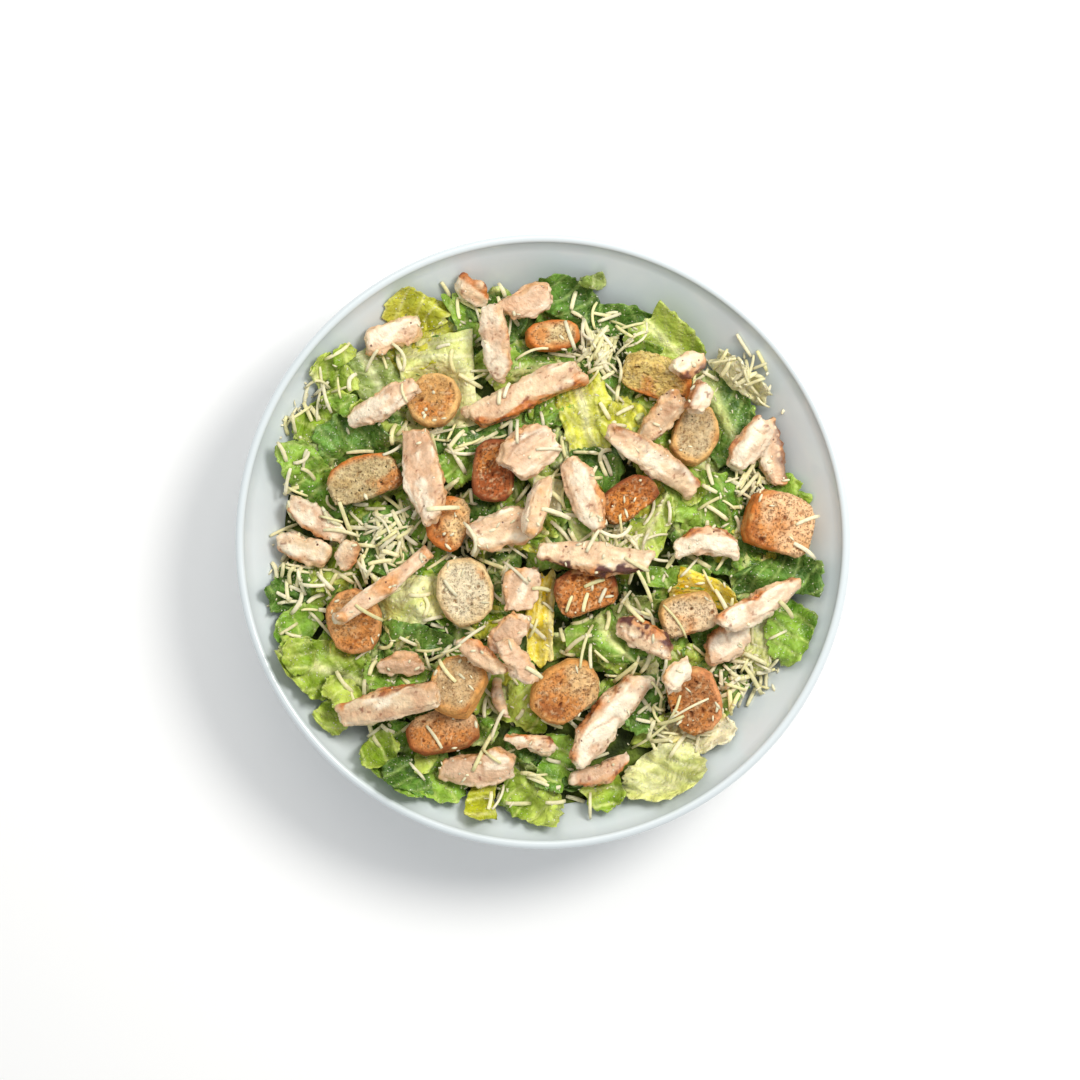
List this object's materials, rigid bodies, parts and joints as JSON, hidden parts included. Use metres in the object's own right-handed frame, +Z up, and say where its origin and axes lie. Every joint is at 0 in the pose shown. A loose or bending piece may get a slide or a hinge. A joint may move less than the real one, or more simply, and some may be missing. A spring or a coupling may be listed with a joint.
{
  "type": "caesar salad in a bowl",
  "caption": "Round white footed bowl filled with romaine lettuce, grilled chicken strips, croutons and shredded cheese.",
  "frame": {"origin": "centre of the foot ring's underside, on the table", "axes": "+Z up out of the bowl, +X and +Y to the right and the top of the picture taken from straight above"},
  "size_m": [0.27, 0.27, 0.0917],
  "materials": {
    "bowl": "smooth white glaze",
    "lettuce": "moist leaf, slightly glossy",
    "chicken": "moist grilled meat",
    "crouton": "dry toasted bread"
  },
  "bodies": {
    "root": {"bowl": "bowl", "lettuce": "lettuce", "chicken_01": "chicken", "chicken_02": "chicken", "chicken_03": "chicken", "chicken_04": "chicken", "chicken_05": "chicken", "chicken_06": "chicken", "chicken_07": "chicken", "chicken_08": "chicken", "chicken_09": "chicken", "chicken_10": "chicken", "chicken_11": "chicken", "chicken_12": "chicken", "chicken_13": "chicken", "chicken_14": "chicken", "chicken_15": "chicken", "chicken_16": "chicken", "chicken_17": "chicken", "chicken_18": "chicken", "chicken_19": "chicken", "chicken_20": "chicken", "chicken_21": "chicken", "chicken_22": "chicken", "chicken_23": "chicken", "chicken_24": "chicken", "chicken_25": "chicken", "chicken_26": "chicken", "chicken_27": "chicken", "chicken_28": "chicken", "chicken_29": "chicken", "chicken_30": "chicken", "chicken_31": "chicken", "chicken_32": "chicken", "chicken_33": "chicken", "chicken_34": "chicken", "chicken_35": "chicken", "chicken_36": "chicken", "chicken_37": "chicken", "chicken_38": "chicken", "crouton_01": "crouton", "crouton_02": "crouton", "crouton_03": "crouton", "crouton_04": "crouton", "crouton_05": "crouton", "crouton_06": "crouton", "crouton_07": "crouton", "crouton_08": "crouton", "crouton_09": "crouton", "crouton_10": "crouton", "crouton_11": "crouton", "crouton_12": "crouton", "crouton_13": "crouton", "crouton_14": "crouton", "crouton_15": "crouton", "crouton_16": "crouton", "crouton_17": "crouton"}
  },
  "joints": []
}
